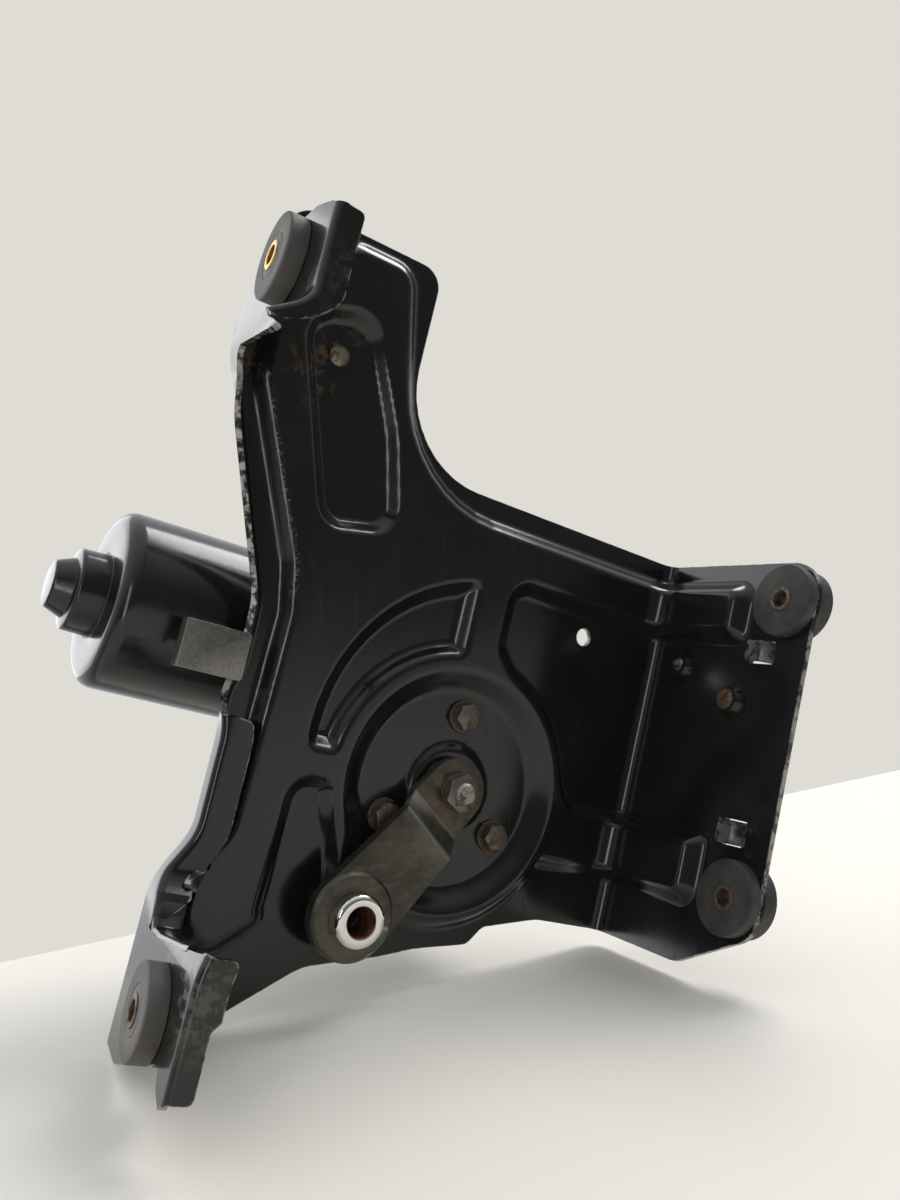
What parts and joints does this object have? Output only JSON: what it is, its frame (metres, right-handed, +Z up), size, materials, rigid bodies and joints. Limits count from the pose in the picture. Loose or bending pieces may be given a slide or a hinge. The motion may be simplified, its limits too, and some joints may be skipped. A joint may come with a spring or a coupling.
{
  "type": "windshield wiper motor",
  "caption": "Worm-geared wiper motor on a pressed steel bracket with a bent leg, ears on rubber mounts, and a crank on its output shaft.",
  "frame": {"origin": "centre of the bounding box on the surface that the bracket's lower ear and leg stand on", "axes": "+Z up; +Y backwards through the plate, along the output shaft, towards the gearbox; +X to the right, from the motor's can towards the bent leg. The bracket leans 16.6 degrees about Y, as it stands in the picture."},
  "size_m": [0.2875, 0.1694, 0.3017],
  "materials": {
    "black_gloss": "gloss black paint, worn to bare steel on its cut edges",
    "bolt_steel": "zinc plating gone brown with light rust",
    "rusty_steel": "brown rust",
    "zinc": "white zinc plating",
    "lug_steel": "grey, half matt, with light edges",
    "cast": "die-cast, matt",
    "cover_black": "black paint",
    "gasket": "matt",
    "socket_plastic": "moulded",
    "wheel_plastic": "natural acetal",
    "board": "laminated board",
    "brass": "rolled",
    "sintered": "sintered bronze",
    "magnet": "ferrite",
    "carbon": null,
    "copper": null,
    "core_steel": "laminated electrical steel",
    "rubber": "matt, dusty",
    "sleeve_steel": "dull plated steel",
    "sleeve_brass": "brass coloured",
    "crank_steel": "satin grey steel with light edges and brown rust",
    "chrome": "bright",
    "shaft_steel": "ground"
  },
  "bodies": {
    "root": {"bearing_retainer": "core_steel", "bracket_leg": "black_gloss", "bracket_plate": "black_gloss", "brush_holders": "brass", "brush_plate": "board", "brush_springs": "shaft_steel", "brushes": "carbon", "cable_lug": "lug_steel", "contact_carrier": "board", "cover_gasket": "gasket", "cover_screws": "bolt_steel", "end_bearing": "sintered", "end_play_screw": "bolt_steel", "front_bearing": "sintered", "gear_cover": "cover_black", "gear_housing": "cast", "gearbox_bolts": "bolt_steel", "gearbox_washers": "rusty_steel", "grommet_lower_left": "rubber", "grommet_lower_right": "rubber", "grommet_upper_left": "rubber", "grommet_upper_right": "rubber", "leg_collars": "black_gloss", "leg_screw": "rusty_steel", "lower_ear": "black_gloss", "magnets": "magnet", "motor_can": "black_gloss", "motor_screws": "bolt_steel", "output_bearing": "sintered", "park_contacts": "brass", "rear_bearing": "sintered", "sleeve_lower_left": "sleeve_steel", "sleeve_lower_right": "sleeve_steel", "sleeve_upper_left": "sleeve_brass", "sleeve_upper_right": "sleeve_steel", "slot_screw": "zinc", "terminal_blades": "brass", "terminal_socket": "socket_plastic", "upper_ear": "black_gloss"},
    "crank": {"output_shaft": "shaft_steel", "worm_wheel": "wheel_plastic", "park_disc": "brass", "crank_arm": "crank_steel", "crank_bush": "chrome", "crank_washer": "rusty_steel", "crank_nut": "bolt_steel"},
    "armature": {"armature_shaft": "shaft_steel", "armature_core": "core_steel", "armature_winding": "copper", "commutator": "copper"}
  },
  "joints": [
    {"name": "crank_turn", "type": "hinge", "parent": "root", "child": "crank", "pos_m": [0.00864, 0.00364, 0.07905], "axis": [0, -1, 0], "continuous": true},
    {"name": "armature_spin", "type": "hinge", "parent": "root", "child": "armature", "pos_m": [0.02078, 0.04764, 0.11978], "axis": [0.9583, 0, -0.2857], "continuous": true}
  ],
  "couplings": [
    {"joint": "armature_spin", "follows": "crank_turn", "ratio": 48}
  ]
}
